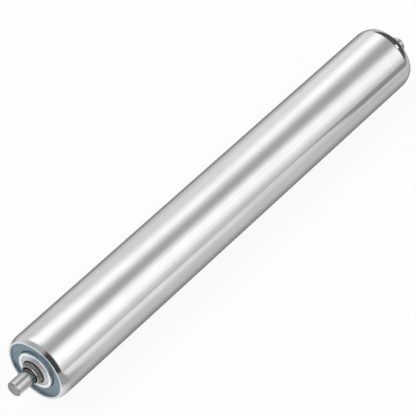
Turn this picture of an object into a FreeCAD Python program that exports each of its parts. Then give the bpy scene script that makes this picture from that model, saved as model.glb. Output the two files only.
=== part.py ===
import FreeCAD, Part
import math
import os
from collections import namedtuple

import Sketcher

# Gravity conveyor roller: a steel tube whose ends are spun in over two pressed
# bearing units, turning on a plain round shaft that stands out at both ends.
#
# The roller's axis is the Y axis and the origin is at the middle of the shaft.
# Each end piece is drawn as a half section in an end frame, where x is the
# distance from the axis and y = 0 is the end face of the tube with +y outwards.
# All lengths are in millimetres and all angles in degrees.

doc = FreeCAD.newDocument("conveyor_roller")
sheet = doc.addObject("Spreadsheet::Sheet", "sizes")


# Sizes
class Size:
    """A number that also knows the sheet expression which gives it."""

    def __init__(self, value, text):
        self.value = value
        self.text = text

    def __add__(self, other):
        return join(self, "+", other)

    def __sub__(self, other):
        return join(self, "-", other)

    def __mul__(self, other):
        return join(self, "*", other)

    def __truediv__(self, other):
        return join(self, "/", other)

    def __neg__(self):
        return Size(-self.value, f"(-{self.text})")


def join(left, sign, right):
    """The sum, difference, product or ratio of two sizes, as value and as expression."""
    a, b = plain(left), plain(right)
    values = {"+": a.value + b.value, "-": a.value - b.value, "*": a.value * b.value}
    value = values[sign] if sign in values else a.value / b.value
    return Size(value, f"({a.text} {sign} {b.text})")


def plain(number):
    """A plain number as a size; a size stays as it is."""
    return number if isinstance(number, Size) else Size(float(number), repr(number))


def sine(angle):
    return Size(math.sin(math.radians(angle.value)), f"sin({angle.text})")


def cosine(angle):
    return Size(math.cos(math.radians(angle.value)), f"cos({angle.text})")


def tangent(angle):
    return sine(angle) / cosine(angle)


def square_root(number):
    return Size(math.sqrt(number.value), f"sqrt({number.text})")


def size(alias, number, meaning):
    """Enter a driving size on the next row of the sheet and hand it back."""
    size.row += 1
    sheet.set(f"A{size.row}", alias)
    sheet.set(f"B{size.row}", str(number))
    sheet.set(f"C{size.row}", meaning)
    sheet.setAlias(f"B{size.row}", alias)
    return Size(float(number), f"sizes.{alias}")


size.row = 0
ZERO = Size(0.0, "0")

# Tube
tube_length = size("tube_length", 440, "tube, end face to end face")
tube_diameter = size("tube_diameter", 57.2, "tube, outside")
tube_wall = size("tube_wall", 1.4, "tube wall")
curl_angle = size("curl_angle", 27, "slope of the spun-in end against the axis")
curl_radius = size("curl_radius", 17, "outside radius of the spun-in bend")
curl_drop = size("curl_drop", 1.95, "how far the lip is turned in from the tube's outside")

# Shaft
shaft_diameter = size("shaft_diameter", 12.7, "shaft")
front_reach = size("front_reach", 24.1, "shaft beyond the tube's front end")
rear_reach = size("rear_reach", 19.9, "shaft beyond the tube's rear end")
shaft_chamfer = size("shaft_chamfer", 0.8, "chamfer on the shaft tips")

# Balls: a full ring of them, with no cage
ball_count = size("ball_count", 11, "balls in each bearing")
ball_diameter = size("ball_diameter", 6.35, "ball")
ball_gap = size("ball_gap", 0.1, "mean space between neighbouring balls")
ball_play = size("ball_play", 0.04, "radial clearance of a ball to each race")
ball_depth = size("ball_depth", 10, "ball centres behind the tube's end face")
groove_ratio = size("groove_ratio", 0.53, "raceway radius over ball diameter")
shoulder_rise = size("shoulder_rise", 1.6, "race shoulders above the groove floor")

# Races
outer_race_wall = size("outer_race_wall", 1.6, "outer race under its groove")
race_width = size("race_width", 9, "width of both races about the ball centres")
race_edge = size("race_edge", 0.4, "chamfer on the race edges")
bore_fit = size("bore_fit", 0.03, "radial clearance of the inner race on the shaft")
collar_start = size("collar_start", 1.2, "where the inner race's collar starts to taper")
collar_reach = size("collar_reach", 4.8, "collar front beyond the tube's end face")
collar_taper = size("collar_taper", 1.15, "radial taper of the collar to its front")
collar_edge = size("collar_edge", 0.6, "chamfer on the collar's front")
mouth_clearance = size("mouth_clearance", 1.0, "relief round the shaft in the collar's mouth")
mouth_depth = size("mouth_depth", 2.6, "depth of that relief")

# Housing, pressed from sheet
sheet_thickness = size("sheet_thickness", 1.5, "housing sheet")
face_depth = size("face_depth", 1.8, "housing face behind the tube's end face")
face_round = size("face_round", 1.45, "outside radius of the bends at the housing's face")
skirt_depth = size("skirt_depth", 17, "housing skirt's end behind the tube's end face")
seat_lip = size("seat_lip", 2.2, "inward lip that the outer race seats on")

# Dust cover, pressed from thinner sheet
cover_thickness = size("cover_thickness", 0.8, "dust cover sheet")
bead_height = size("bead_height", 0.6, "bead crest beyond the tube's end face")
bead_width = size("bead_width", 2.0, "bead across")
bead_round = size("bead_round", 0.75, "outside radius of the bead's bends")
valley_depth = size("valley_depth", 0.6, "dip between bead and cone, behind the end face")
cone_rise = size("cone_rise", 1.6, "cone's rim at the hole beyond the tube's end face")
cover_gap = size("cover_gap", 0.7, "radial gap between cover and collar")

# Retaining ring, sunk in the collar's mouth and sprung into a groove of the shaft
ring_thickness = size("ring_thickness", 1.0, "retaining ring")
ring_groove_depth = size("ring_groove_depth", 0.25, "its groove in the shaft")
ring_side_play = size("ring_side_play", 0.1, "groove wider than the ring")
ring_play = size("ring_play", 0.15, "radial clearance of the ring in the mouth")
ring_gap = size("ring_gap", 2.4, "open gap of the ring")

# Places that follow from the sizes
half_length = tube_length / 2
tube_middle = (front_reach - rear_reach) / 2
tube_radius = tube_diameter / 2
shaft_radius = shaft_diameter / 2
ball_radius = ball_diameter / 2
pitch_radius = (ball_diameter + ball_gap) / (sine(Size(180.0, "180") / ball_count) * 2)
groove_radius = ball_diameter * groove_ratio
inner_floor = pitch_radius - ball_radius - ball_play
outer_floor = pitch_radius + ball_radius + ball_play
inner_shoulder = inner_floor + shoulder_rise
outer_shoulder = outer_floor - shoulder_rise
seat_radius = outer_floor + outer_race_wall
race_front = race_width / 2 - ball_depth
race_back = -(race_width / 2) - ball_depth
bore_radius = shaft_radius + bore_fit
mouth_radius = shaft_radius + mouth_clearance
mouth_floor = collar_reach - mouth_depth
groove_floor = shaft_radius - ring_groove_depth


# Drawing helpers
Corner = namedtuple("Corner", "x y rounding", defaults=(None,))


def direction(start, end):
    """Unit vector from one corner to the next."""
    run = FreeCAD.Vector(end.x.value - start.x.value, end.y.value - start.y.value, 0)
    return run.normalize()


def bend_points(corners, index):
    """Tangent points, centre and turn of the arc that rounds a corner."""
    before, here, after = corners[index - 1], corners[index], corners[(index + 1) % len(corners)]
    arriving, leaving = direction(before, here), direction(here, after)
    turn = arriving.cross(leaving).z
    angle = math.atan2(turn, arriving.dot(leaving))
    reach = here.rounding.value * math.tan(abs(angle) / 2)
    vertex = FreeCAD.Vector(here.x.value, here.y.value, 0)
    start, end = vertex - arriving * reach, vertex + leaving * reach
    side = FreeCAD.Vector(-arriving.y, arriving.x, 0) * math.copysign(1, turn)
    return start, end, start + side * here.rounding.value, turn > 0


def pin_point(sketch, geometry, end, corner):
    """Hold a point of the sketch at a corner's place, each way from the same sizes."""
    for axis, kind, place in ((-2, "DistanceX", corner.x), (-1, "DistanceY", corner.y)):
        if place is ZERO:
            sketch.addConstraint(Sketcher.Constraint("PointOnObject", geometry, end, axis))
        else:
            held = Sketcher.Constraint(kind, -1, 1, geometry, end, place.value)
            sketch.setExpression(f"Constraints[{sketch.addConstraint(held)}]", place.text)


def draw_outline(sketch, corners, closed):
    """Draw straight runs between the corners, with an arc at each rounded one."""
    count = len(corners)
    vertices = [FreeCAD.Vector(c.x.value, c.y.value, 0) for c in corners]
    bends = {i: bend_points(corners, i) for i in range(count) if corners[i].rounding}
    lines = []
    for i in range(count if closed else count - 1):
        j = (i + 1) % count
        start = bends[i][1] if i in bends else vertices[i]
        end = bends[j][0] if j in bends else vertices[j]
        lines.append(sketch.addGeometry(Part.LineSegment(start, end)))
    for i in range(count):
        into = lines[i - 1] if closed or i > 0 else None
        out_of = lines[i] if i < len(lines) else None
        if i in bends:
            draw_bend(sketch, corners[i], vertices[i], bends[i], into, out_of)
        elif into is None:
            pin_point(sketch, out_of, 1, corners[i])
        else:
            pin_point(sketch, into, 2, corners[i])
            if out_of is not None:
                sketch.addConstraint(Sketcher.Constraint("Coincident", into, 2, out_of, 1))


def draw_bend(sketch, corner, vertex, bend, into, out_of):
    """Round one corner: both runs aim at it, and an arc of its radius joins them."""
    start, end, centre, left_turn = bend
    first, last = (start, end) if left_turn else (end, start)
    angles = [math.atan2(p.y - centre.y, p.x - centre.x) for p in (first, last)]
    circle = Part.Circle(centre, FreeCAD.Vector(0, 0, 1), corner.rounding.value)
    arc = sketch.addGeometry(Part.ArcOfCircle(circle, *angles))
    aim = sketch.addGeometry(Part.Point(vertex), True)
    pin_point(sketch, aim, 1, corner)
    for line in (into, out_of):
        sketch.addConstraint(Sketcher.Constraint("PointOnObject", aim, 1, line))
    arc_in, arc_out = (1, 2) if left_turn else (2, 1)
    sketch.addConstraint(Sketcher.Constraint("Tangent", into, 2, arc, arc_in))
    sketch.addConstraint(Sketcher.Constraint("Tangent", arc, arc_out, out_of, 1))
    radius = sketch.addConstraint(Sketcher.Constraint("Radius", arc, corner.rounding.value))
    sketch.setExpression(f"Constraints[{radius}]", corner.rounding.text)


def draw_circle(sketch, x, y, radius):
    """A circle of the sketch, held by its centre and radius."""
    centre = FreeCAD.Vector(x.value, y.value, 0)
    circle = sketch.addGeometry(Part.Circle(centre, FreeCAD.Vector(0, 0, 1), radius.value))
    pin_point(sketch, circle, 3, Corner(x, y))
    held = sketch.addConstraint(Sketcher.Constraint("Radius", circle, radius.value))
    sketch.setExpression(f"Constraints[{held}]", radius.text)


# Pieces and their places
pieces = []
ENDS = {"front": -1, "rear": 1}


def add_piece(feature, label):
    """Name a finished piece, whose name is also that of its file."""
    feature.Label = label
    pieces.append(feature)
    return feature


def place_at_end(feature, end, inset=ZERO):
    """Move an end frame's piece to its end of the tube, facing outwards."""
    side = ENDS[end]
    turn = 0 if side > 0 else 180
    place = (half_length + inset) * side + tube_middle
    feature.Placement = FreeCAD.Placement(
        FreeCAD.Vector(0, place.value, 0),
        FreeCAD.Rotation(FreeCAD.Vector(0, 0, 1), turn),
    )
    feature.setExpression("Placement.Base.y", place.text)


def new_body(name):
    return doc.addObject("PartDesign::Body", f"{name}_body")


def new_sketch(body, name, plane="XY_Plane"):
    """A sketch on one of the body's own origin planes."""
    sketch = body.newObject("Sketcher::SketchObject", name)
    support = [f for f in body.Origin.OriginFeatures if f.Role == plane][0]
    sketch.AttachmentSupport = [(support, "")]
    sketch.MapMode = "FlatFace"
    return sketch


def turned(body, name, corners):
    """A turned solid: a closed half section swept once round the roller's axis."""
    sketch = new_sketch(body, f"{name}_section")
    draw_outline(sketch, corners, closed=True)
    revolution = body.newObject("PartDesign::Revolution", f"{name}_turned")
    revolution.Profile = sketch
    revolution.ReferenceAxis = (sketch, ["V_Axis"])
    revolution.Angle = 360
    return revolution


def raceway(body, name, centre_radius):
    """The round groove that the balls run in, cut in a race."""
    sketch = new_sketch(body, f"{name}_groove_section")
    draw_circle(sketch, centre_radius, -ball_depth, groove_radius)
    groove = body.newObject("PartDesign::Groove", f"{name}_groove")
    groove.Profile = sketch
    groove.ReferenceAxis = (sketch, ["V_Axis"])
    groove.Angle = 360
    return groove


def pressed(name, corners, thickness):
    """A pressed or spun shell: the outer face's half line, given the sheet's thickness."""
    path = doc.addObject("Sketcher::SketchObject", f"{name}_path")
    draw_outline(path, corners, closed=False)
    section = doc.addObject("Part::Offset2D", f"{name}_section")
    section.Source = path
    section.Mode = "Skin"
    section.Join = "Arc"
    section.Fill = True
    section.Value = -thickness.value
    section.setExpression("Value", (-thickness).text)
    shell = doc.addObject("Part::Revolution", f"{name}_shell")
    shell.Source = section
    shell.Axis = FreeCAD.Vector(0, 1, 0)
    shell.Angle = 360
    shell.Solid = True
    return shell


# Tube, spun in at both ends
def make_tube():
    bend_y = half_length - curl_drop / tangent(curl_angle)
    lip_radius = tube_radius - curl_drop
    path = [
        Corner(lip_radius, tube_middle - half_length),
        Corner(tube_radius, tube_middle - bend_y, curl_radius),
        Corner(tube_radius, tube_middle + bend_y, curl_radius),
        Corner(lip_radius, tube_middle + half_length),
    ]
    add_piece(pressed("tube", path, tube_wall), "tube")


# Shaft, one round bar with chamfered tips and a groove for each retaining ring
def make_shaft():
    groove_inner = half_length + mouth_floor
    groove_outer = groove_inner + ring_thickness + ring_side_play
    halves = {}
    for end, reach in (("front", front_reach), ("rear", rear_reach)):
        tip = half_length + reach
        half = [
            Corner(shaft_radius, groove_inner),
            Corner(groove_floor, groove_inner),
            Corner(groove_floor, groove_outer),
            Corner(shaft_radius, groove_outer),
            Corner(shaft_radius, tip - shaft_chamfer),
            Corner(shaft_radius - shaft_chamfer, tip),
            Corner(ZERO, tip),
        ]
        halves[end] = [Corner(c.x, c.y * ENDS[end] + tube_middle) for c in half]
    body = new_body("shaft")
    turned(body, "shaft", halves["front"][::-1] + halves["rear"])
    add_piece(body, "shaft")


# Housing: a cup pressed from sheet, held under the tube's spun-in lip
def make_housing(end):
    name = f"housing_{end}"
    bore = tube_radius - tube_wall
    bend_inside = curl_radius - tube_wall
    bend_start = -curl_drop / tangent(curl_angle) - curl_radius * tangent(curl_angle / 2)
    face = -face_depth
    bend_span = face - face_round - bend_start
    edge_reach = bend_inside - face_round
    flat_edge = bore - bend_inside + square_root(edge_reach * edge_reach - bend_span * bend_span)
    slope = curl_angle / 3
    shoulder = flat_edge + face_round * tangent((plain(90) - slope) / 2)
    path = [
        Corner(bore, -skirt_depth),
        Corner(bore, face - (bore - shoulder) / tangent(slope)),
        Corner(shoulder, face, face_round),
        Corner(seat_radius, face, face_round),
        Corner(seat_radius, race_back),
        Corner(seat_radius - seat_lip, race_back),
    ]
    shell = pressed(name, path, sheet_thickness)
    place_at_end(shell, end)
    add_piece(shell, name)


# Outer race: a hardened ring with the outer raceway, pressed into the housing
def make_outer_race(end):
    name = f"outer_race_{end}"
    body = new_body(name)
    section = [
        Corner(seat_radius, race_back + race_edge),
        Corner(seat_radius, race_front - race_edge),
        Corner(seat_radius - race_edge, race_front),
        Corner(outer_shoulder + race_edge, race_front),
        Corner(outer_shoulder, race_front - race_edge),
        Corner(outer_shoulder, race_back + race_edge),
        Corner(outer_shoulder + race_edge, race_back),
        Corner(seat_radius - race_edge, race_back),
    ]
    turned(body, name, section)
    raceway(body, name, outer_floor - groove_radius)
    place_at_end(body, end)
    add_piece(body, name)


# Inner race: a turned ring with the inner raceway and a collar that reaches outside
def make_inner_race(end):
    name = f"inner_race_{end}"
    body = new_body(name)
    front_radius = inner_shoulder - collar_taper
    section = [
        Corner(bore_radius, race_back),
        Corner(inner_shoulder - race_edge, race_back),
        Corner(inner_shoulder, race_back + race_edge),
        Corner(inner_shoulder, collar_start),
        Corner(front_radius, collar_reach - collar_edge),
        Corner(front_radius - collar_edge, collar_reach),
        Corner(mouth_radius, collar_reach),
        Corner(mouth_radius, mouth_floor),
        Corner(bore_radius, mouth_floor),
    ]
    turned(body, name, section)
    raceway(body, name, inner_floor + groove_radius)
    place_at_end(body, end)
    add_piece(body, name)


# Balls, each its own piece, evenly round the pitch circle
def make_balls(end):
    centre_y = (half_length - ball_depth) * ENDS[end] + tube_middle
    for number in range(int(ball_count.value)):
        name = f"ball_{end}_{number + 1:02d}"
        ball = doc.addObject("Part::Sphere", f"{name}_sphere")
        ball.Radius = ball_radius.value
        ball.setExpression("Radius", ball_radius.text)
        angle = Size(360.0, "360") / ball_count * number
        ball.setExpression("Placement.Base.x", (pitch_radius * cosine(angle)).text)
        ball.setExpression("Placement.Base.y", centre_y.text)
        ball.setExpression("Placement.Base.z", (pitch_radius * sine(angle)).text)
        add_piece(ball, name)


# Dust cover: a thin pressed ring with a raised bead and a cone that rises to the collar
def make_cover(end):
    name = f"dust_cover_{end}"
    bead_inside = seat_radius - bead_width
    hole = inner_shoulder + cover_gap
    flank = bead_height + valley_depth
    path = [
        Corner(seat_radius, race_front),
        Corner(seat_radius, bead_height, bead_round),
        Corner(bead_inside, bead_height, bead_round),
        Corner(bead_inside - flank / 2, -valley_depth),
        Corner(hole, cone_rise),
    ]
    shell = pressed(name, path, cover_thickness)
    place_at_end(shell, end)
    add_piece(shell, name)


# Retaining ring: a flat snap ring that keeps the shaft from sliding inwards
def make_retaining_ring(end):
    name = f"retaining_ring_{end}"
    outer = mouth_radius - ring_play
    body = new_body(name)
    section = [
        Corner(groove_floor, mouth_floor),
        Corner(outer, mouth_floor),
        Corner(outer, mouth_floor + ring_thickness),
        Corner(groove_floor, mouth_floor + ring_thickness),
    ]
    turned(body, name, section)
    gap = new_sketch(body, f"{name}_gap_outline", "XZ_Plane")
    corners = [
        Corner(-ring_gap / 2, ZERO),
        Corner(ring_gap / 2, ZERO),
        Corner(ring_gap / 2, mouth_radius),
        Corner(-ring_gap / 2, mouth_radius),
    ]
    draw_outline(gap, corners, closed=True)
    pocket = body.newObject("PartDesign::Pocket", f"{name}_gap")
    pocket.Profile = gap
    pocket.Type = "ThroughAll"
    pocket.Midplane = True
    place_at_end(body, end)
    add_piece(body, name)


# The whole roller
make_shaft()
make_tube()
for end in ENDS:
    make_housing(end)
    make_outer_race(end)
    make_inner_race(end)
    make_balls(end)
    make_cover(end)
    make_retaining_ring(end)

doc.recompute()

# Checks of every object, then one file for each piece
for item in doc.Objects:
    if "Invalid" in item.State or "Error" in item.State:
        raise RuntimeError(f"{item.Label} could not be made: {item.State}")
for piece in pieces:
    if piece.Shape.isNull() or not piece.Shape.isValid():
        raise RuntimeError(f"{piece.Label} has no sound shape")
    if len(piece.Shape.Solids) != 1:
        raise RuntimeError(f"{piece.Label} is not one solid")

os.makedirs("parts", exist_ok=True)
for piece in pieces:
    piece.Shape.exportStep(f"parts/{piece.Label}.step")
    box = piece.Shape.optimalBoundingBox(False)
    extents = ", ".join(f"{extent:.2f}" for extent in (box.XLength, box.YLength, box.ZLength))
    print(f"{piece.Label}: {extents} mm, volume {piece.Shape.Volume:.1f} mm3")
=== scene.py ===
"""Looks of a conveyor roller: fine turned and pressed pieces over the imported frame."""
import logging
import math
from dataclasses import dataclass
from enum import Enum
from typing import Callable, NamedTuple

import bpy
from mathutils import Matrix, Vector


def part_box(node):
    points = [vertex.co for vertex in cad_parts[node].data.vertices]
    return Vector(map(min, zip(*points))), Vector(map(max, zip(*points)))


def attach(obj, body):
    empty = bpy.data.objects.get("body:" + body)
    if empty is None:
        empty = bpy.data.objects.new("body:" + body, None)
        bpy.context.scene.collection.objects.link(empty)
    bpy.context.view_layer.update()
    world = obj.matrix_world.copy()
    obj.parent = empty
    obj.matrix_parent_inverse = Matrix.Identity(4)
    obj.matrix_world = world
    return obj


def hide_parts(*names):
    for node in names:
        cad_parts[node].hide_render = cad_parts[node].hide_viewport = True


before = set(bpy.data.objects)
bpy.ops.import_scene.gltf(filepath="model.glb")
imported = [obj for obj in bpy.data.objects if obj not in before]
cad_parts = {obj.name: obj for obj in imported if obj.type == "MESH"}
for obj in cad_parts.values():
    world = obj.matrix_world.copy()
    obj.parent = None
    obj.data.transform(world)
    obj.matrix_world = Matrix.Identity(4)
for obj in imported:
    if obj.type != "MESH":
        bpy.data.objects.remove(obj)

log = logging.getLogger("roller")
MM = 0.001
WHITE = (1.0, 1.0, 1.0, 1.0)


# Colour and node helpers
def linear(hex_colour: str) -> tuple[float, float, float, float]:
    """Turn an sRGB hex colour to linear.

    Args:
        hex_colour: Six hex digits after a hash sign.

    Returns:
        Linear red, green and blue, and an alpha of one.
    """
    parts = [int(hex_colour[i:i + 2], 16) / 255 for i in (1, 3, 5)]
    turned = [p / 12.92 if p <= 0.04045 else ((p + 0.055) / 1.055) ** 2.4 for p in parts]
    return (*turned, 1.0)


def grey(level: float) -> tuple[float, float, float, float]:
    """Turn a linear grey level to a colour."""
    return (level, level, level, 1.0)


def add_node(tree: bpy.types.NodeTree, kind: str, inputs: dict[str | int, object] | None = None,
             **settings: object) -> bpy.types.Node:
    """Add a node with its settings and its inputs.

    Args:
        tree: The node tree that gets it.
        kind: The node's type name.
        inputs: For each input, by name or number, a value or the socket that feeds it.
        settings: Properties of the node.

    Returns:
        The new node.
    """
    node = tree.nodes.new(kind)
    for name, value in settings.items():
        setattr(node, name, value)
    for socket, value in (inputs or {}).items():
        if isinstance(value, bpy.types.NodeSocket):
            tree.links.new(value, node.inputs[socket])
        else:
            node.inputs[socket].default_value = value
    return node


# Finishes
class Marks(Enum):
    """What the making of a surface leaves on it."""

    DRAWN = "long lines along the axis"
    TURNED = "fine rings round the axis"
    CLOUDED = "soft patches of plating"


# Drawn marks change this much more slowly along the axis than across it
LINE_SQUEEZE = 0.006
# Share of the broad patches beside the fine marks
BROAD_SHARE = 0.35
# Noise this far to each side of its middle gives the dark and the light colour, at a contrast of one
TONE_SPAN = 0.25
# Noise at which a surface is at its roughest and at its smoothest
ROUGH_AT, SMOOTH_AT = 0.3, 0.7


@dataclass(frozen=True)
class Finish:
    """A metal surface: its colours, its gloss and the marks of how it was made.

    Spacing, depth and patches are in millimetres; smooth and rough are the limits of its roughness.
    """

    name: str
    light: str
    dark: str
    marks: Marks
    spacing: float
    smooth: float
    rough: float
    depth: float
    contrast: float = 1.0
    patches: float = 18.0

    def pattern(self, tree: bpy.types.NodeTree) -> bpy.types.NodeSocket:
        """Coordinates in which plain noise gives the marks.

        Args:
            tree: The material's node tree.

        Returns:
            The vector socket that feeds the noise.
        """
        place = add_node(tree, "ShaderNodeTexCoord").outputs["Object"]
        if self.marks is Marks.CLOUDED:
            return place
        if self.marks is Marks.DRAWN:
            stretched = add_node(tree, "ShaderNodeMapping", {
                "Vector": place, "Scale": (1.0, LINE_SQUEEZE, 1.0)})
            return stretched.outputs["Vector"]
        split = add_node(tree, "ShaderNodeSeparateXYZ", {"Vector": place})
        flat = add_node(tree, "ShaderNodeCombineXYZ", {"X": split.outputs["X"], "Y": split.outputs["Z"]})
        radius = add_node(tree, "ShaderNodeVectorMath", {0: flat.outputs["Vector"]}, operation="LENGTH")
        rings = add_node(tree, "ShaderNodeCombineXYZ", {"X": radius.outputs["Value"],
                                                        "Y": split.outputs["Y"]})
        return rings.outputs["Vector"]

    def build(self) -> bpy.types.Material:
        """Make the material, once for each finish.

        Returns:
            The material with its nodes.
        """
        ready = bpy.data.materials.get(self.name)
        if ready:
            return ready
        material = bpy.data.materials.new(self.name)
        material.use_nodes = True
        tree = material.node_tree
        tree.nodes.clear()
        place = add_node(tree, "ShaderNodeTexCoord").outputs["Object"]
        fine = add_node(tree, "ShaderNodeTexNoise", {
            "Vector": self.pattern(tree), "Scale": 1 / (self.spacing * MM), "Detail": 3.0,
            "Roughness": 0.6}).outputs["Fac"]
        broad = add_node(tree, "ShaderNodeTexNoise", {
            "Vector": place, "Scale": 1 / (self.patches * MM), "Detail": 2.0}).outputs["Fac"]
        both = add_node(tree, "ShaderNodeMix", {0: BROAD_SHARE, 2: fine, 3: broad}).outputs[0]
        tone = add_node(tree, "ShaderNodeMapRange", {
            "Value": both, "From Min": 0.5 - TONE_SPAN / self.contrast,
            "From Max": 0.5 + TONE_SPAN / self.contrast}).outputs["Result"]
        colour = add_node(tree, "ShaderNodeMix", {0: tone, 6: linear(self.dark), 7: linear(self.light)},
                          data_type="RGBA").outputs[2]
        gloss = add_node(tree, "ShaderNodeMapRange", {
            "Value": both, "From Min": ROUGH_AT, "From Max": SMOOTH_AT, "To Min": self.rough,
            "To Max": self.smooth}).outputs["Result"]
        relief = add_node(tree, "ShaderNodeBump", {
            "Strength": 1.0, "Distance": self.depth * MM, "Height": fine}).outputs["Normal"]
        skin = add_node(tree, "ShaderNodeBsdfPrincipled", {
            "Base Color": colour, "Metallic": 1.0, "Roughness": gloss, "Normal": relief})
        add_node(tree, "ShaderNodeOutputMaterial", {"Surface": skin.outputs["BSDF"]})
        return material


# Cold drawn steel tube, polished: near-mirror with faint long lines; the lines are about 0.05 mm
# wide on the real tube and are drawn 0.8 mm wide, so that the render can show them
POLISHED_TUBE = Finish("polished_drawn_tube", "#F2F2F2", "#DDDDDD", Marks.DRAWN,
                       spacing=0.8, smooth=0.05, rough=0.10, depth=0.0003)
# Tube's end cut square by a tool: bright, rough, with rings
CUT_EDGE = Finish("cut_tube_edge", "#E9EDF1", "#CDD3DA", Marks.TURNED,
                  spacing=0.2, smooth=0.3, rough=0.45, depth=0.004)
# Pressed sheet with blue passivated zinc: soft blue-grey sheen with cloudy patches
ZINC_SHEET = Finish("blue_zinc_sheet", "#8498A3", "#6D808C", Marks.CLOUDED,
                    spacing=1.2, smooth=0.3, rough=0.42, depth=0.0015, contrast=1.2, patches=9.0)
# Thin pressed cover with clear zinc: paler than the housing, with a soft gloss
COVER_SHEET = Finish("clear_zinc_sheet", "#D0D2D5", "#B4B7BB", Marks.CLOUDED,
                     spacing=1.0, smooth=0.25, rough=0.35, depth=0.003, patches=6.0)
# Its bead: a copy of the sheet with a smoother gloss, and a lighter colour that is a painted highlight
PAINTED_BEAD_HIGHLIGHT = Finish("painted_highlight_zinc_bead", "#F3F5F7", "#E0E3E6", Marks.CLOUDED,
                     spacing=1.0, smooth=0.2, rough=0.3, depth=0.002, patches=6.0)
# Ring turned on an automatic lathe and hardened: grey with fine rings
TURNED_RACE = Finish("turned_race_steel", "#A8A8A6", "#848482", Marks.TURNED,
                     spacing=0.25, smooth=0.4, rough=0.55, depth=0.006, contrast=1.4)
# The same steel, darker: painted shade in a dark line round the collar, at the cover's hole
PAINTED_ROOT_SHADE = Finish("painted_shade_race_steel", "#565655", "#3C3C3B", Marks.TURNED,
                    spacing=0.25, smooth=0.4, rough=0.55, depth=0.004)
# Chamfer of the ring's collar, a copy of the steel with a smoother gloss and a lighter colour: a painted
# highlight in a thin bright line round the shaft
PAINTED_RIM_HIGHLIGHT = Finish("painted_highlight_ring_face", "#C6C6C4", "#ACACA9", Marks.TURNED,
                     spacing=0.2, smooth=0.15, rough=0.25, depth=0.002)
# Bright drawn round bar: clear lines along it, about 0.1 mm wide and drawn 0.3 mm wide
DRAWN_BAR = Finish("bright_drawn_bar", "#D4D4D2", "#B0B0AD", Marks.DRAWN,
                   spacing=0.3, smooth=0.11, rough=0.18, depth=0.001, contrast=1.4)
# Bar's end faced on a lathe: darker, with rings
FACED_TIP = Finish("faced_bar_tip", "#9D9D9B", "#666564", Marks.TURNED,
                   spacing=0.4, smooth=0.3, rough=0.45, depth=0.008, contrast=2.2)
# Ball bearing steel, ground and lapped: an even mirror
GROUND_STEEL = Finish("ground_bearing_steel", "#D6D7D9", "#C6C7CA", Marks.CLOUDED,
                      spacing=0.4, smooth=0.06, rough=0.12, depth=0.0003)
# Spring steel with black phosphate: dull and nearly black
BLACK_SPRING = Finish("phosphated_spring_steel", "#3A3A3B", "#262627", Marks.CLOUDED,
                      spacing=0.3, smooth=0.45, rough=0.6, depth=0.004)


# Rounding in millimetres of an edge that is only broken
BROKEN = 0.05
# Degrees in a step of an arc: at the finest, at the coarsest, and for a radius of one millimetre
STEP_LEAST, STEP_MOST, STEP_AT_ONE = 1.5, 15.0, 6.0
# Points beside an arc hold its shading: millimetres from it at least, more by its radius, and at most
HELD_LEAST, HELD_SHARE, HELD_MOST = 0.05, 0.2, 1.5


# Sections in millimetres: distance from the axis, then height beyond the tube's end
class Corner(NamedTuple):
    """A corner of a section, and the radius that rounds it."""

    radius: float
    height: float
    rounding: float = 0.0


def rounded(corners: list[Corner], closed: bool) -> list[tuple[float, float]]:
    """Points along a section, with an arc at each rounded corner.

    Args:
        corners: The corners in order.
        closed: Whether the last corner joins the first.

    Returns:
        Points of the section, with more of them where a run meets an arc.
    """
    points: list[tuple[float, float]] = []
    count = len(corners)
    for i, corner in enumerate(corners):
        here = Vector(corner[:2])
        if corner.rounding <= 0 or (not closed and i in (0, count - 1)):
            points.append(tuple(here))
            continue
        before = Vector(corners[i - 1][:2])
        after = Vector(corners[(i + 1) % count][:2])
        into, out = (here - before).normalized(), (after - here).normalized()
        turn = math.atan2(into.x * out.y - into.y * out.x, into.dot(out))
        reach = corner.rounding * math.tan(abs(turn) / 2)
        side = math.copysign(1.0, turn)
        centre = here - into * reach + Vector((-into.y, into.x)) * side * corner.rounding
        step = math.radians(min(STEP_MOST, max(STEP_LEAST, STEP_AT_ONE / math.sqrt(corner.rounding))))
        steps = max(2, math.ceil(abs(turn) / step))
        held = min(HELD_MOST, HELD_SHARE * corner.rounding + HELD_LEAST)
        # Only a run with room for the points of both its ends gets them
        enough = reach + 3 * held
        if (here - before).length > enough:
            points.append(tuple(here - into * (reach + held)))
        start = here - into * reach - centre
        for k in range(steps + 1):
            angle = turn * k / steps
            turned = Vector((start.x * math.cos(angle) - start.y * math.sin(angle),
                             start.x * math.sin(angle) + start.y * math.cos(angle)))
            points.append(tuple(centre + turned))
        if (after - here).length > enough:
            points.append(tuple(here + out * (reach + held)))
    return points


def sheet(path: list[Corner], thickness: float, edge: float, square: bool = False) -> list[Corner]:
    """Give a path of sheet metal its thickness, on the left of the path.

    Args:
        path: The outer face of the sheet.
        thickness: The sheet's thickness.
        edge: The radius of the cut edges.
        square: Whether the ends are faced square to the axis.

    Returns:
        The closed section of the sheet.
    """
    spots = [Vector(corner[:2]) for corner in path]
    runs = [(b - a).normalized() for a, b in zip(spots, spots[1:])]
    left = [Vector((-run.y, run.x)) * thickness for run in runs]
    ends = [spots[0] + left[0], spots[-1] + left[-1]]
    if square:
        for end, run in zip((0, -1), (runs[0], runs[-1])):
            ends[end] += run * ((spots[end].y - ends[end].y) / run.y)
    inner = [Corner(*ends[0], edge)]
    for i in range(1, len(path) - 1):
        turn = runs[i - 1].x * runs[i].y - runs[i - 1].y * runs[i].x
        # The inner corner lies where the inner sides of both runs meet
        middle = left[i - 1] + left[i]
        middle *= 2 * thickness * thickness / middle.length_squared
        change = thickness if turn < 0 else -thickness
        inner.append(Corner(*(spots[i] + middle), max(BROKEN, path[i].rounding + change)))
    inner.append(Corner(*ends[-1], edge))
    outer = [corner._replace(rounding=max(BROKEN, corner.rounding)) for corner in path]
    outer[0], outer[-1] = outer[0]._replace(rounding=edge), outer[-1]._replace(rounding=edge)
    return outer + inner[::-1]


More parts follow.
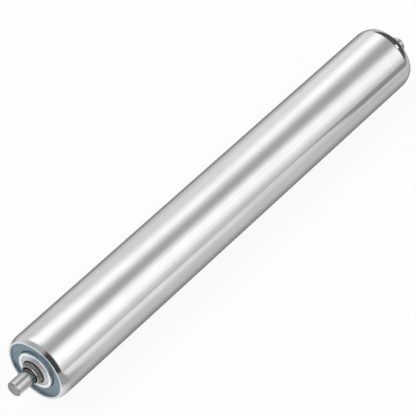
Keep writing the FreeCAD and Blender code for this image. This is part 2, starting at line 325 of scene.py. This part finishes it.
# The lathe: one Geometry Nodes tree turns every section round the axis
class Lathe:
    """Turns a flat section round the roller's axis with Geometry Nodes.

    The path's radius and the distance at which points are merged are in millimetres, and edges are
    sharp from that many degrees on.
    """

    PATH_RADIUS = 5.0
    MERGED_WITHIN = 0.002
    SHARP_FROM = 35.0

    def __init__(self, steps: int) -> None:
        """Build the tree.

        Args:
            steps: Facets in a full turn.
        """
        self.steps = steps
        tree = bpy.data.node_groups.new("turn_round_axis", "GeometryNodeTree")
        sockets = {}
        for name, kind in (("Section", "Geometry"), ("Steps", "Int"), ("Path Radius", "Float"),
                           ("Finish", "Material")):
            sockets[name] = tree.interface.new_socket(name, in_out="INPUT", socket_type=f"NodeSocket{kind}")
        tree.interface.new_socket("Piece", in_out="OUTPUT", socket_type="NodeSocketGeometry")
        given = add_node(tree, "NodeGroupInput").outputs
        # The path's radius comes off the section first, because the sweep adds it
        back = add_node(tree, "ShaderNodeMath", {0: given["Path Radius"], 1: -1.0}, operation="MULTIPLY")
        shift = add_node(tree, "ShaderNodeCombineXYZ", {"X": back.outputs[0]})
        moved = add_node(tree, "GeometryNodeTransform", {"Geometry": given["Section"],
                                                         "Translation": shift.outputs["Vector"]})
        section = add_node(tree, "GeometryNodeMeshToCurve", {"Mesh": moved.outputs["Geometry"]})
        path = add_node(tree, "GeometryNodeCurvePrimitiveCircle", {"Resolution": given["Steps"],
                                                                   "Radius": given["Path Radius"]})
        swept = add_node(tree, "GeometryNodeCurveToMesh", {"Curve": path.outputs["Curve"],
                                                           "Profile Curve": section.outputs["Curve"]})
        laid = add_node(tree, "GeometryNodeTransform", {"Geometry": swept.outputs["Mesh"],
                                                        "Rotation": (math.pi / 2, 0.0, 0.0)})
        joined = add_node(tree, "GeometryNodeMergeByDistance", {"Geometry": laid.outputs["Geometry"],
                                                                "Distance": self.MERGED_WITHIN * MM})
        smooth = add_node(tree, "GeometryNodeSetShadeSmooth", {"Geometry": joined.outputs["Geometry"]})
        real = add_node(tree, "GeometryNodeRealizeInstances", {"Geometry": smooth.outputs["Geometry"]})
        dressed = add_node(tree, "GeometryNodeSetMaterial", {"Geometry": real.outputs["Geometry"],
                                                             "Material": given["Finish"]})
        add_node(tree, "NodeGroupOutput", {"Piece": dressed.outputs["Geometry"]})
        self.tree = tree
        self.sockets = {name: socket.identifier for name, socket in sockets.items()}

    def turn(self, name: str, corners: list[Corner], finish: Finish, closed: bool = True) -> bpy.types.Object:
        """Turn one section to a plain mesh piece.

        Args:
            name: The piece's name.
            corners: The section in millimetres along the axis, outer face upwards.
            finish: What the piece is made of.
            closed: Whether the section closes on itself, away from the axis.

        Returns:
            The piece, at the origin.
        """
        points = rounded(corners, closed)
        count = len(points)
        edges = [(i, (i + 1) % count) for i in range(count if closed else count - 1)]
        outline = bpy.data.meshes.new(f"{name}_section")
        outline.from_pydata([(r * MM, h * MM, 0.0) for r, h in points], edges, [])
        piece = bpy.data.objects.new(name, outline)
        bpy.context.scene.collection.objects.link(piece)
        modifier = piece.modifiers.new("turn", "NODES")
        modifier.node_group = self.tree
        modifier[self.sockets["Steps"]] = self.steps
        modifier[self.sockets["Path Radius"]] = self.PATH_RADIUS * MM
        modifier[self.sockets["Finish"]] = finish.build()
        evaluated = piece.evaluated_get(bpy.context.evaluated_depsgraph_get())
        mesh = bpy.data.meshes.new_from_object(evaluated)
        piece.modifiers.remove(modifier)
        piece.data = mesh
        mesh.name = name
        bpy.data.meshes.remove(outline)
        mesh.set_sharp_from_angle(angle=math.radians(self.SHARP_FROM))
        return piece


def second_finish(piece: bpy.types.Object, finish: Finish, chosen: Callable[[Vector, Vector], bool]) -> None:
    """Give some faces of a piece another finish.

    Args:
        piece: The piece.
        finish: The other finish.
        chosen: Says by a face's centre and normal whether it gets it.
    """
    piece.data.materials.append(finish.build())
    last = len(piece.data.materials) - 1
    for face in piece.data.polygons:
        if chosen(face.center, face.normal):
            face.material_index = last


class End(Enum):
    """The two ends of the roller, with the way that each looks along the axis."""

    FRONT = -1
    REAR = 1

    @property
    def label(self) -> str:
        """The end's name in the frame."""
        return self.name.lower()

    def place(self, corners: list[Corner], face: float) -> list[Corner]:
        """Put a section at this end.

        Args:
            corners: The section, heights counted outwards from the tube's end face.
            face: Where that face is along the roller's axis.

        Returns:
            The section along the roller's axis, still outer face upwards.
        """
        moved = [Corner(c.radius, face + self.value * c.height, c.rounding) for c in corners]
        return moved if self is End.REAR else moved[::-1]


# Sub-assemblies
@dataclass
class Tube:
    """Steel tube, spun in at both ends over the bearing units.

    A face within the cut depth of an end, and square to the axis by the cut slope, is a cut edge.
    """

    faces: dict[End, float]
    radius: float
    wall: float = 1.4
    curl_angle: float = 27.0
    curl_radius: float = 17.0
    curl_drop: float = 1.95
    lip_depth: float = 1.72
    lip_draft: float = 0.15
    lip_edge: float = 0.12
    cut_depth: float = 0.75
    cut_slope: float = 0.75

    def build(self, lathe: Lathe) -> bpy.types.Object:
        """Turn the tube.

        Args:
            lathe: What turns it.

        Returns:
            The tube.
        """
        run = self.curl_drop / math.tan(math.radians(self.curl_angle))
        half = [Corner(self.radius, -run, self.curl_radius), Corner(self.radius - self.curl_drop, 0.0)]
        path = End.FRONT.place(half, self.faces[End.FRONT]) + End.REAR.place(half, self.faces[End.REAR])
        inner = sheet(path, self.wall, self.lip_edge, square=True)[len(path):]
        # The spun-in end is pressed flat on the housing, so its inner side stands square on it
        toe = inner[0].radius
        foot = [Corner(toe + self.lip_depth * math.tan(math.radians(self.curl_angle)), -self.lip_depth),
                Corner(toe + self.lip_draft, -self.lip_depth, BROKEN)]
        lips = {end: end.place(foot, self.faces[end]) for end in End}
        first, last = (path[i]._replace(rounding=self.lip_edge) for i in (0, -1))
        section = [first, *path[1:-1], last,
                   inner[0], *lips[End.REAR][::-1], *inner[1:-1], *lips[End.FRONT][::-1], inner[-1]]
        return lathe.turn("tube_shell", section, POLISHED_TUBE)

    def dress(self, piece: bpy.types.Object) -> None:
        """Give the cut edges their finish, and tie the tube to its body.

        Args:
            piece: The tube.
        """
        low, high = ((self.faces[end] - end.value * self.cut_depth) * MM for end in End)
        second_finish(piece, CUT_EDGE,
                      lambda spot, facing: not low < spot.y < high and abs(facing.y) > self.cut_slope)
        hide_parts("tube")
        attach(piece, "roller")


@dataclass
class Shaft:
    """Round bar with chamfered tips and a groove for each retaining ring.

    A face within the faced share of the chamfer, and square to the axis by the faced slope, is
    lathe work.
    """

    faces: dict[End, float]
    tips: dict[End, float]
    radius: float
    chamfer: float = 0.8
    groove_start: float = 2.2
    groove_width: float = 1.1
    groove_depth: float = 0.25
    tip_edge: float = 0.12
    tip_ring: float = 2.5
    faced_share: float = 0.9
    faced_slope: float = 0.3

    def build(self, lathe: Lathe) -> bpy.types.Object:
        """Turn the shaft from pole to pole.

        Args:
            lathe: What turns it.

        Returns:
            The shaft.
        """
        whole: list[Corner] = []
        for end in End:
            reach = abs(self.tips[end] - self.faces[end])
            groove_end = self.groove_start + self.groove_width
            half = [
                Corner(self.radius, self.groove_start, BROKEN),
                Corner(self.radius - self.groove_depth, self.groove_start, BROKEN),
                Corner(self.radius - self.groove_depth, groove_end, BROKEN),
                Corner(self.radius, groove_end, BROKEN),
                Corner(self.radius, reach - self.chamfer, self.tip_edge),
                Corner(self.radius - self.chamfer, reach, self.tip_edge),
                Corner(self.tip_ring, reach),
                Corner(0.0, reach),
            ]
            whole += end.place(half, self.faces[end])
        return lathe.turn("shaft_bar", whole, DRAWN_BAR, closed=False)

    def dress(self, piece: bpy.types.Object) -> None:
        """Give the faced tips their finish, and tie the shaft to its body.

        Args:
            piece: The shaft.
        """
        low, high = ((self.tips[end] - end.value * self.faced_share * self.chamfer) * MM for end in End)
        second_finish(piece, FACED_TIP,
                      lambda spot, facing: not low < spot.y < high and abs(facing.y) > self.faced_slope)
        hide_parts("shaft")
        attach(piece, "axle")


@dataclass
class BearingUnit:
    """Housing, dust cover and races at one end of the roller.

    Faces of the inner race get painted shade below the root's top and outside the root's radius,
    and a painted highlight within the rim's depth of its front where their slope lies between the
    two that rim_slopes gives.
    """

    end: End
    face: float
    tube_bore: float
    # Housing: a pressed cup that fills the tube's bore and holds the bearing in its seat
    cup_wall: float = 1.5
    cup_edge: float = 0.15
    cup_slope: float = 9.0
    cup_back: float = -17.0
    cup_lip: float = 2.2
    seat: float = 16.26
    inset: float = -1.8
    face_round: float = 1.45
    shoulder_round: float = 0.6
    shoulder: float = 26.2
    # Dust cover: a bead along the seat, and a cone up to the collar
    cover_wall: float = 0.8
    cover_edge: float = 0.1
    cover_gap: float = 0.7
    bead: float = 2.4
    bead_top: float = 0.6
    bead_round: float = 0.9
    bead_band: float = 0.4
    cone_run: float = 0.5
    cone_foot: float = -0.3
    cone_top: float = 1.6
    # Inner race: a ball track, and a collar that narrows to a chamfered rim round a mouth
    race_front: float = -5.5
    race_back: float = -14.5
    race_chamfer: float = 0.4
    track_floor: float = 8.23
    track_radius: float = 3.366
    track_steps: int = 8
    collar: float = 9.83
    collar_start: float = 1.2
    collar_reach: float = 5.7
    collar_taper: float = 1.45
    turned_edge: float = 0.1
    rim_chamfer: float = 0.35
    rim_depth: float = 0.4
    rim_slopes: tuple[float, float] = (0.4, 0.97)
    # The collar steps in at this height. Up to it, and outside the radius below, its faces get painted shade
    shaded_root_top: float = 2.24
    shaded_root_radius: float = 9.3
    root_step: float = 0.4
    bore: float = 6.38
    mouth: float = 7.35
    mouth_edge: float = 0.15
    mouth_floor: float = 2.2

    def housing(self) -> list[Corner]:
        """The section of the pressed cup."""
        slope = math.radians(self.cup_slope)
        path = [
            Corner(self.tube_bore, self.cup_back),
            Corner(self.tube_bore, self.inset - (self.tube_bore - self.shoulder) / math.tan(slope)),
            Corner(self.shoulder, self.inset, self.shoulder_round),
            Corner(self.seat, self.inset, self.face_round),
            Corner(self.seat, self.race_back),
            Corner(self.seat - self.cup_lip, self.race_back),
        ]
        return sheet(path, self.cup_wall, self.cup_edge)

    def cover(self) -> list[Corner]:
        """The section of the dust cover with its bead and cone."""
        path = [
            Corner(self.seat, self.race_front),
            Corner(self.seat, self.bead_top, self.bead_round),
            Corner(self.seat - self.bead, self.bead_top, self.bead_round),
            Corner(self.seat - self.bead - self.cone_run, self.cone_foot),
            Corner(self.collar + self.cover_gap, self.cone_top),
        ]
        return sheet(path, self.cover_wall, self.cover_edge)

    def inner_race(self) -> list[Corner]:
        """The section of the inner race with its groove and its collar."""
        rim = self.collar - self.collar_taper
        centre = self.track_floor + self.track_radius
        middle = (self.race_front + self.race_back) / 2
        span = math.acos((centre - self.collar) / self.track_radius)
        turns = [span * k / self.track_steps for k in range(-self.track_steps, self.track_steps + 1)]
        ball_track = [Corner(centre - self.track_radius * math.cos(turn),
                             middle + self.track_radius * math.sin(turn)) for turn in turns]
        return [
            Corner(self.bore, self.race_back, self.turned_edge),
            Corner(self.collar - self.race_chamfer, self.race_back, BROKEN),
            Corner(self.collar, self.race_back + self.race_chamfer, BROKEN),
            *ball_track,
            Corner(self.collar, self.collar_start, self.turned_edge),
            Corner(self.collar - self.root_step, self.shaded_root_top),
            Corner(rim, self.collar_reach - self.rim_chamfer, self.turned_edge),
            Corner(rim - self.rim_chamfer, self.collar_reach, self.turned_edge),
            Corner(self.mouth, self.collar_reach, self.mouth_edge),
            Corner(self.mouth, self.mouth_floor, BROKEN),
            Corner(self.bore, self.mouth_floor, BROKEN),
        ]

    def build(self, lathe: Lathe) -> dict[str, bpy.types.Object]:
        """Turn the pieces that show.

        Args:
            lathe: What turns them.

        Returns:
            The pieces by the frame's names, without the end.
        """
        made = {}
        for part, section, finish in (("housing", self.housing(), ZINC_SHEET),
                                      ("dust_cover", self.cover(), COVER_SHEET),
                                      ("inner_race", self.inner_race(), TURNED_RACE)):
            placed = self.end.place(section, self.face)
            made[part] = lathe.turn(f"{part}_turned_{self.end.label}", placed, finish)
        return made

    def dress(self, made: dict[str, bpy.types.Object]) -> None:
        """Tie the pieces to their bodies, and finish the frame's own nodes.

        Args:
            made: The pieces by the frame's names, without the end.
        """
        ties = {"housing": ("roller", "zinc_sheet"), "dust_cover": ("roller", "cover_sheet"),
                "inner_race": ("axle", "race_steel")}
        bead = (self.seat - self.bead - self.bead_band) * MM
        # Painted highlight: the bead's faces get a lighter copy of the cover's finish
        second_finish(made["dust_cover"], PAINTED_BEAD_HIGHLIGHT, lambda spot, facing: math.hypot(spot.x, spot.z) > bead)
        # Painted shade: the collar's root, by the cover's hole, gets a darker copy of the race steel
        shade_top, root = (abs(self.face) + self.shaded_root_top) * MM, self.shaded_root_radius * MM
        second_finish(made["inner_race"], PAINTED_ROOT_SHADE,
                      lambda spot, facing: abs(spot.y) < shade_top and math.hypot(spot.x, spot.z) > root)
        # Painted highlight: the collar's rim chamfer gets a lighter copy of the race's finish
        rim = (abs(self.face) + self.collar_reach - self.rim_depth) * MM
        least, most = self.rim_slopes
        second_finish(made["inner_race"], PAINTED_RIM_HIGHLIGHT,
                      lambda spot, facing: abs(spot.y) > rim and least < abs(facing.y) < most)
        for part, (body, slot) in ties.items():
            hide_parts(f"{part}_{self.end.label}")
            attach(made[part], body)
        for name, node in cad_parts.items():
            if name.startswith((f"ball_{self.end.label}", f"outer_race_{self.end.label}")):
                finish_node(node, GROUND_STEEL)
            elif name == f"retaining_ring_{self.end.label}":
                finish_node(node, BLACK_SPRING)


def finish_node(node: bpy.types.Object, finish: Finish) -> None:
    """Give a node of the frame a better material.

    Args:
        node: The node's object.
        finish: Its finish.
    """
    if not node.material_slots:
        node.data.materials.append(finish.build())
    for slot in node.material_slots:
        slot.material = finish.build()


# Studio

# Where a panel that has no such end would start or stop along the axis
NO_START, NO_END = -2.0, 2.0


@dataclass(frozen=True)
class Panel:
    """A light box or a black card round the roller's axis, as polished metal sees it.

    Angles are degrees round the axis from +X towards +Z, and start and end are the directions'
    part along the axis. A soft edge reaches as far to both sides. At the tube's rear end the panel
    is turned by slant and bow, in degrees, and its level is higher by fade. At the front end bow
    counts the same, and slant and fade count the other way.
    """

    level: float
    foot: float
    top: float
    foot_soft: float = 4.0
    top_soft: float = 4.0
    start: float = NO_START
    end: float = NO_END
    ends_soft: float = 0.05
    slant: float = 0.0
    bow: float = 0.0
    fade: float = 0.0

    def hang(self, tree: bpy.types.NodeTree, behind: bpy.types.NodeSocket, angle: bpy.types.NodeSocket,
             along: bpy.types.NodeSocket, place: bpy.types.NodeSocket) -> bpy.types.NodeSocket:
        """Hang the panel before what is already in the room.

        Args:
            tree: The world's node tree.
            behind: Grey level of what it hangs before.
            angle: Degrees round the axis.
            along: The direction's part along the axis.
            place: Place along the tube, from -1 at its front end to 1 at its rear end.

        Returns:
            The grey level with the panel.
        """
        square = add_node(tree, "ShaderNodeMath", {0: place, 1: place}, operation="MULTIPLY").outputs[0]
        leaned = add_node(tree, "ShaderNodeMath", {0: place, 1: -self.slant, 2: angle},
                          operation="MULTIPLY_ADD").outputs[0]
        bent = add_node(tree, "ShaderNodeMath", {0: square, 1: -self.bow, 2: leaned},
                        operation="MULTIPLY_ADD").outputs[0]
        edges = [(bent, self.foot, self.foot_soft), (bent, self.top, -self.top_soft)]
        if self.start != NO_START:
            edges.append((along, self.start, self.ends_soft))
        if self.end != NO_END:
            edges.append((along, self.end, -self.ends_soft))
        share = None
        for value, edge, soft in edges:
            part = add_node(tree, "ShaderNodeMapRange", {
                "Value": value, "From Min": edge - soft, "From Max": edge + soft},
                interpolation_type="SMOOTHSTEP").outputs["Result"]
            share = part if share is None else add_node(
                tree, "ShaderNodeMath", {0: share, 1: part}, operation="MULTIPLY").outputs[0]
        glow = add_node(tree, "ShaderNodeMath", {0: place, 1: self.fade, 2: self.level},
                        operation="MULTIPLY_ADD").outputs[0]
        return add_node(tree, "ShaderNodeMix", {0: share, 2: behind, 3: glow}).outputs[0]


class Border(NamedTuple):
    """A straight soft border on the table, in metres.

    A point's X and Y, each times its share, add up to its distance: the patch begins at the start
    distance and is full at the full one.
    """

    start: float
    full: float
    x_share: float = 0.0
    y_share: float = 0.0


@dataclass(frozen=True)
class Patch:
    """A patch of another grey on the table, as polished metal sees it."""

    level: float
    borders: tuple[Border, ...]
    strength: float = 1.0

    def lay(self, tree: bpy.types.NodeTree, under: bpy.types.NodeSocket,
            spot: bpy.types.NodeOutputs) -> bpy.types.NodeSocket:
        """Lay the patch on what the table already shows.

        Args:
            tree: The table's node tree.
            under: Colour that it lies on.
            spot: The place on the table, split into X, Y and Z.

        Returns:
            The colour with the patch.
        """
        share = None
        for border in self.borders:
            sideways = add_node(tree, "ShaderNodeMath", {0: spot["X"], 1: border.x_share},
                                operation="MULTIPLY").outputs[0]
            line = add_node(tree, "ShaderNodeMath", {0: spot["Y"], 1: border.y_share, 2: sideways},
                            operation="MULTIPLY_ADD").outputs[0]
            part = add_node(tree, "ShaderNodeMapRange", {
                "Value": line, "From Min": border.start, "From Max": border.full,
                "To Max": self.strength if share is None else 1.0}).outputs["Result"]
            share = part if share is None else add_node(
                tree, "ShaderNodeMath", {0: share, 1: part}, operation="MULTIPLY").outputs[0]
        return add_node(tree, "ShaderNodeMix", {0: share, 6: under, 7: grey(self.level)},
                        data_type="RGBA").outputs[2]


class Lamp(NamedTuple):
    """A soft square lamp: its name, its place in metres and its power in watts."""

    name: str
    place: tuple[float, float, float]
    power: float


@dataclass
class Studio:
    """White table and soft light boxes, and the camera of the photograph.

    The camera's stand is counted from the tube's near end, in millimetres to the camera's right,
    upwards in its picture and ahead of it.
    """

    floor_height: float
    front_face: float
    table: str = "#F2F2F2"
    table_reach: float = 6.0
    table_rough: float = 0.9
    table_glow: float = 0.9
    room: float = 0.5
    lamp_size: float = 1.2
    sensor_width: float = 36.0
    focal_length: float = 216.03
    azimuth: float = 39.19
    elevation: float = 46.99
    stand: tuple[float, float, float] = (129.37, 121.62, -1866.97)
    clip: tuple[float, float] = (0.05, 50.0)
    back_wall: float = 0.454
    # Directions' parts along the axis that the tube mirrors at its front end and at its rear end
    mirrored_ends: tuple[float, float] = (0.455, 0.605)
    panels: tuple[Panel, ...] = (
        # A pale strip of wall over the table's right edge
        Panel(0.56, foot=-30.0, top=12.0, foot_soft=8.0, top_soft=8.0,
              start=0.03, end=0.59, ends_soft=0.04),
        # Two long light boxes over the roller, with a dark gap between them
        Panel(1.26, foot=102.0, top=147.0, foot_soft=20.0, top_soft=19.0, start=0.03, slant=1.7, bow=4.7),
        Panel(1.19, foot=16.0, top=62.6, foot_soft=21.5, top_soft=14.7,
              start=0.03, slant=-0.9, bow=-1.6, fade=-0.07),
        # A long pale screen on the left, a little above the table
        Panel(0.81, foot=129.0, top=186.0, foot_soft=25.0, top_soft=30.0,
              start=-0.70, slant=-1.0, bow=22.0, fade=0.08),
        # The camera's own dark corner, with a screen beyond it and a brighter one behind
        Panel(0.06, foot=3.0, top=80.0, foot_soft=5.0, top_soft=12.0,
              start=-0.46, end=-0.015, ends_soft=0.05),
        Panel(1.6, foot=-30.0, top=130.0, foot_soft=10.0, top_soft=10.0,
              start=-0.61, end=-0.47, ends_soft=0.03),
        Panel(2.6, foot=-30.0, top=100.0, foot_soft=10.0, top_soft=10.0,
              start=-0.91, end=-0.76, ends_soft=0.03),
        # Two more light boxes behind the camera, for views from the other side
        Panel(1.2, foot=102.0, top=147.0, foot_soft=20.0, top_soft=19.0,
              start=-0.76, end=-0.60, ends_soft=0.03),
        Panel(1.2, foot=16.0, top=62.6, foot_soft=21.5, top_soft=14.7,
              start=-0.76, end=-0.60, ends_soft=0.03),
        # A dark curtain beyond the roller's far end
        Panel(0.09, foot=-9.0, top=172.0, foot_soft=8.0, top_soft=18.0, start=0.70, ends_soft=0.05),
        # A small lamp before it
        Panel(4.0, foot=49.0, top=62.0, start=0.78, end=0.84, ends_soft=0.015))
    # Metal sees the table fall off towards the roller in a painted shadow, more so on the left, where it is a
    # dark strip:
    # metres to the right, and the grey level there
    table_levels: tuple[tuple[float, float], ...] = (
        (-0.90, 0.70), (-0.23, 0.60), (-0.12, 0.30), (-0.03, 0.22), (0.026, 0.22), (0.035, 0.40),
        (0.050, 0.60), (0.085, 0.64), (0.133, 0.82), (0.20, 0.90), (0.30, 0.92), (0.90, 0.68))
    patches: tuple[Patch, ...] = (
        # The open table before the roller's near end
        Patch(1.0, (Border(-0.195, -0.228, y_share=1.0),)),
        # Painted shade on its near right corner
        Patch(0.38, (Border(-0.15, -0.19, y_share=1.0), Border(0.045, 0.07, x_share=1.0))),
        # The table's right side falls off a little towards the far end
        Patch(0.5, (Border(0.05, 0.16, y_share=1.0), Border(0.045, 0.07, x_share=1.0)), strength=0.4),
        # A dark cloth on its far right corner
        Patch(0.31, (Border(0.12, 0.16, x_share=-0.6, y_share=1.0),
                     Border(0.160, 0.175, x_share=1.0, y_share=0.1))))
    lamps: tuple[Lamp, ...] = (Lamp("lamp_left", (-0.9, -0.5, 1.3), power=12.0),
                               Lamp("lamp_right", (1.1, 0.3, 1.1), power=9.6))

    def light_room(self) -> None:
        """Light the scene from all round, white to the camera and with panels in metal."""
        world = bpy.data.worlds.new("studio_room")
        bpy.context.scene.world = world
        world.use_nodes = True
        # Found by reflected rays alone, so that each kind of ray keeps its own room
        world.cycles.sampling_method = "NONE"
        tree = world.node_tree
        tree.nodes.clear()
        way = add_node(tree, "ShaderNodeTexCoord").outputs["Generated"]
        split = add_node(tree, "ShaderNodeSeparateXYZ", {"Vector": way}).outputs
        turn = add_node(tree, "ShaderNodeMath", {0: split["Z"], 1: split["X"]},
                        operation="ARCTAN2").outputs[0]
        angle = add_node(tree, "ShaderNodeMath", {0: turn}, operation="DEGREES").outputs[0]
        front, rear = self.mirrored_ends
        place = add_node(tree, "ShaderNodeMapRange", {
            "Value": split["Y"], "From Min": front, "From Max": rear, "To Min": -1.0}).outputs["Result"]
        seen = add_node(tree, "ShaderNodeValue").outputs[0]
        seen.default_value = self.back_wall
        for panel in self.panels:
            seen = panel.hang(tree, seen, angle, split["Y"], place)
        boxes, even, white = (
            add_node(tree, "ShaderNodeBackground", {"Color": WHITE, "Strength": level}).outputs[0]
            for level in (seen, self.room, 1.0))
        path = add_node(tree, "ShaderNodeLightPath").outputs
        lit = add_node(tree, "ShaderNodeMixShader", {0: path["Is Glossy Ray"], 1: even, 2: boxes})
        shown = add_node(tree, "ShaderNodeMixShader", {
            0: path["Is Camera Ray"], 1: lit.outputs[0], 2: white})
        add_node(tree, "ShaderNodeOutputWorld", {"Surface": shown.outputs[0]})

    def hang_lamps(self) -> None:
        """Hang large soft lamps over the table, which metal doesn't mirror."""
        for name, place, power in self.lamps:
            light = bpy.data.lights.new(name, "AREA")
            light.shape = "SQUARE"
            light.size = self.lamp_size
            light.energy = power
            lamp = bpy.data.objects.new(name, light)
            lamp.location = place
            lamp.rotation_euler = Vector(place).to_track_quat("Z", "Y").to_euler()
            lamp.visible_glossy = False
            bpy.context.scene.collection.objects.link(lamp)

    def card(self) -> bpy.types.Material:
        """Make the table's white card.

        Returns:
            A material that the camera sees nearly white with a faint shadow, and polished metal
            as a grey that changes over the table, with the roller's shadow painted into it.
        """
        material = bpy.data.materials.new("white_card")
        material.use_nodes = True
        tree = material.node_tree
        tree.nodes.clear()
        spot = add_node(tree, "ShaderNodeSeparateXYZ", {
            "Vector": add_node(tree, "ShaderNodeTexCoord").outputs["Object"]}).outputs
        # The ramp runs from a metre on the left to a metre on the right
        across = add_node(tree, "ShaderNodeMapRange", {
            "Value": spot["X"], "From Min": -1.0, "From Max": 1.0}).outputs["Result"]
        ramp = add_node(tree, "ShaderNodeValToRGB", {"Fac": across})
        marks = ramp.color_ramp.elements
        while len(marks) < len(self.table_levels):
            marks.new(1.0)
        # Places come first, because the ramp sorts its marks by them
        for mark, (x, _) in zip(marks, self.table_levels):
            mark.position = 0.5 + x / 2
        for mark, (_, level) in zip(marks, self.table_levels):
            mark.color = grey(level)
        mirrored = ramp.outputs["Color"]
        for patch in self.patches:
            mirrored = patch.lay(tree, mirrored, spot)
        path = add_node(tree, "ShaderNodeLightPath").outputs
        paper = add_node(tree, "ShaderNodeBsdfPrincipled", {"Base Color": linear(self.table),
                                                            "Roughness": self.table_rough}).outputs[0]
        glow = add_node(tree, "ShaderNodeEmission", {"Strength": 1.0}).outputs[0]
        share = add_node(tree, "ShaderNodeMath", {0: path["Is Camera Ray"], 1: self.table_glow},
                         operation="MULTIPLY").outputs[0]
        seen = add_node(tree, "ShaderNodeMixShader", {0: share, 1: paper, 2: glow}).outputs[0]
        # What metal mirrors is an emission, with the roller's shadow painted into its greys
        image = add_node(tree, "ShaderNodeEmission", {"Color": mirrored, "Strength": 1.0}).outputs[0]
        both = add_node(tree, "ShaderNodeMixShader", {0: path["Is Glossy Ray"], 1: seen, 2: image})
        add_node(tree, "ShaderNodeOutputMaterial", {"Surface": both.outputs[0]})
        return material

    def lay_table(self) -> None:
        """Lay a white table under the roller, which keeps a faint shadow."""
        mesh = bpy.data.meshes.new("table_top")
        reach, z = self.table_reach, self.floor_height
        mesh.from_pydata([(-reach, -reach, z), (reach, -reach, z), (reach, reach, z), (-reach, reach, z)],
                         [], [(0, 1, 2, 3)])
        mesh.materials.append(self.card())
        table = bpy.data.objects.new("table_top", mesh)
        bpy.context.scene.collection.objects.link(table)

    def stand_camera(self) -> None:
        """Stand the camera where the photograph was taken from."""
        turn, tilt = math.radians(self.azimuth), math.radians(self.elevation)
        right = Vector((math.cos(turn), math.sin(turn), 0))
        ahead = Vector((-math.sin(turn) * math.cos(tilt), math.cos(turn) * math.cos(tilt), -math.sin(tilt)))
        above = right.cross(ahead)
        to_right, up, forward = self.stand
        lens = bpy.data.cameras.new("camera")
        lens.sensor_fit, lens.sensor_width = "HORIZONTAL", self.sensor_width
        lens.lens = self.focal_length
        lens.clip_start, lens.clip_end = self.clip
        camera = bpy.data.objects.new("camera", lens)
        camera.matrix_world = Matrix((right, above, -ahead)).transposed().to_4x4()
        camera.location = Vector((0, self.front_face, 0)) + (
            to_right * right + up * above + forward * ahead) * MM
        bpy.context.scene.collection.objects.link(camera)
        bpy.context.scene.camera = camera

    def build(self) -> None:
        """Set up the whole studio."""
        bpy.context.scene.view_settings.view_transform = "Standard"
        self.light_room()
        self.hang_lamps()
        self.lay_table()
        self.stand_camera()


def main() -> None:
    """Build the roller and its studio in order."""
    logging.basicConfig(level=logging.INFO, format="%(name)s: %(message)s")
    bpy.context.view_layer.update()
    low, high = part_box("tube")
    faces = {End.FRONT: low.y / MM, End.REAR: high.y / MM}
    bar_low, bar_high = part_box("shaft")
    lathe = Lathe(steps=256)
    tube = Tube(faces, radius=high.x / MM)
    shaft = Shaft(faces, {End.FRONT: bar_low.y / MM, End.REAR: bar_high.y / MM}, radius=bar_high.x / MM)
    for part in (tube, shaft):
        piece = part.build(lathe)
        part.dress(piece)
        log.info("%s: %d faces", piece.name, len(piece.data.polygons))
    for end in End:
        unit = BearingUnit(end, faces[end], tube_bore=tube.radius - tube.wall)
        made = unit.build(lathe)
        unit.dress(made)
        for piece in made.values():
            log.info("%s: %d faces", piece.name, len(piece.data.polygons))
    Studio(floor_height=low.z, front_face=low.y).build()


if __name__ == "__main__":
    main()
